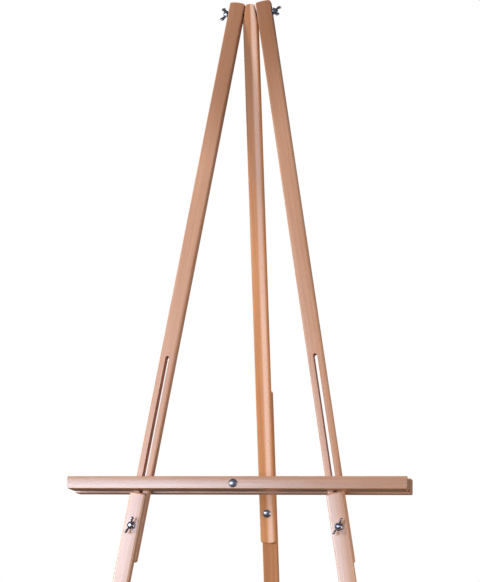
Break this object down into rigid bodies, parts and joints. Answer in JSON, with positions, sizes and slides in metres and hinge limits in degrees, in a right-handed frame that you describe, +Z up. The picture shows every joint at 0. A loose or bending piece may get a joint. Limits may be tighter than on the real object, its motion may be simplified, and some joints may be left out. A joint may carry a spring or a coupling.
{
  "type": "display easel",
  "caption": "Tripod display easel in beech with a clamped two-bar ledge and sliding lower legs locked by wing nuts.",
  "frame": {"origin": "centre of the easel's footprint box, on the floor", "axes": "+Z up, -Y to the front (the side the ledge faces), +X to the right seen from the front"},
  "size_m": [0.5684, 0.4228, 1.5104],
  "materials": {
    "beech_upper": "satin",
    "beech_rear": "satin",
    "beech_lower": "satin",
    "beech_ledge": "satin",
    "zinc": "bright zinc plated",
    "rubber": "matte"
  },
  "bodies": {
    "apex": {"top_bolt": "zinc"},
    "top_left_nut": {"top_left_wing_nut": "zinc"},
    "top_right_nut": {"top_right_wing_nut": "zinc"},
    "front_left_upper": {"front_left_upper_leg": "beech_upper"},
    "front_left_lower": {"front_left_lower_leg": "beech_lower", "front_left_foot": "rubber", "front_left_bolt": "zinc", "front_left_washer": "zinc"},
    "front_left_nut": {"front_left_wing_nut": "zinc"},
    "front_right_upper": {"front_right_upper_leg": "beech_upper"},
    "front_right_lower": {"front_right_lower_leg": "beech_lower", "front_right_foot": "rubber", "front_right_bolt": "zinc", "front_right_washer": "zinc"},
    "front_right_nut": {"front_right_wing_nut": "zinc"},
    "rear_upper": {"rear_upper_leg": "beech_rear", "rear_bolt": "zinc", "rear_washer": "zinc"},
    "rear_lower": {"rear_lower_leg": "beech_rear", "rear_foot": "rubber"},
    "rear_nut": {"rear_wing_nut": "zinc"},
    "ledge": {"ledge_front_bar": "beech_ledge", "ledge_rear_bar": "beech_ledge", "ledge_bolt": "zinc", "ledge_washer": "zinc"},
    "ledge_nut": {"ledge_wing_nut": "zinc"}
  },
  "joints": [
    {"name": "front_left_leg_splay", "type": "hinge", "parent": "apex", "child": "front_left_upper", "pos_m": [-0.02382, -0.02524, 1.48443], "axis": [0, 0.994, -0.1097], "range_deg": [-9.4, 0.5]},
    {"name": "front_right_leg_splay", "type": "hinge", "parent": "apex", "child": "front_right_upper", "pos_m": [0.02382, -0.02524, 1.48443], "axis": [0, -0.994, 0.1097], "range_deg": [-9.4, 0.5]},
    {"name": "rear_leg_swing", "type": "hinge", "parent": "apex", "child": "rear_upper", "pos_m": [0, -0.02427, 1.49326], "axis": [1, 0, 0], "range_deg": [-8.5, 15]},
    {"name": "ledge_height", "type": "slide", "parent": "apex", "child": "ledge", "axis": [0, 0.1097, 0.994], "range_m": [-0.015, 0.25]},
    {"name": "front_left_leg_slide", "type": "slide", "parent": "front_left_upper", "child": "front_left_lower", "axis": [0.1633, 0.1083, 0.9806], "range_m": [-0.015, 0.25]},
    {"name": "front_right_leg_slide", "type": "slide", "parent": "front_right_upper", "child": "front_right_lower", "axis": [-0.1633, 0.1083, 0.9806], "range_m": [-0.015, 0.25]},
    {"name": "rear_leg_slide", "type": "slide", "parent": "rear_upper", "child": "rear_lower", "axis": [0, -0.1444, 0.9895], "range_m": [-0.16, 0.02]},
    {"name": "top_left_nut_spin", "type": "hinge", "parent": "apex", "child": "top_left_nut", "pos_m": [-0.0358, -0.02427, 1.49326], "axis": [-1, 0, 0], "continuous": true},
    {"name": "top_right_nut_spin", "type": "hinge", "parent": "apex", "child": "top_right_nut", "pos_m": [0.0358, -0.02427, 1.49326], "axis": [1, 0, 0], "continuous": true},
    {"name": "front_left_nut_spin", "type": "hinge", "parent": "front_left_lower", "child": "front_left_nut", "pos_m": [-0.1526, -0.13337, 0.71373], "axis": [0, -0.994, 0.1097], "continuous": true},
    {"name": "front_right_nut_spin", "type": "hinge", "parent": "front_right_lower", "child": "front_right_nut", "pos_m": [0.1526, -0.13337, 0.71373], "axis": [0, -0.994, 0.1097], "continuous": true},
    {"name": "rear_nut_spin", "type": "hinge", "parent": "rear_upper", "child": "rear_nut", "pos_m": [0, 0.1056, 0.73052], "axis": [0, 0.9895, 0.1444], "continuous": true},
    {"name": "ledge_nut_spin", "type": "hinge", "parent": "ledge", "child": "ledge_nut", "pos_m": [0, -0.07527, 0.76797], "axis": [0, 0.994, -0.1097], "continuous": true}
  ],
  "couplings": [
    {"joint": "front_left_leg_slide", "follows": "ledge_height", "ratio": 1},
    {"joint": "front_right_leg_slide", "follows": "ledge_height", "ratio": 1}
  ]
}
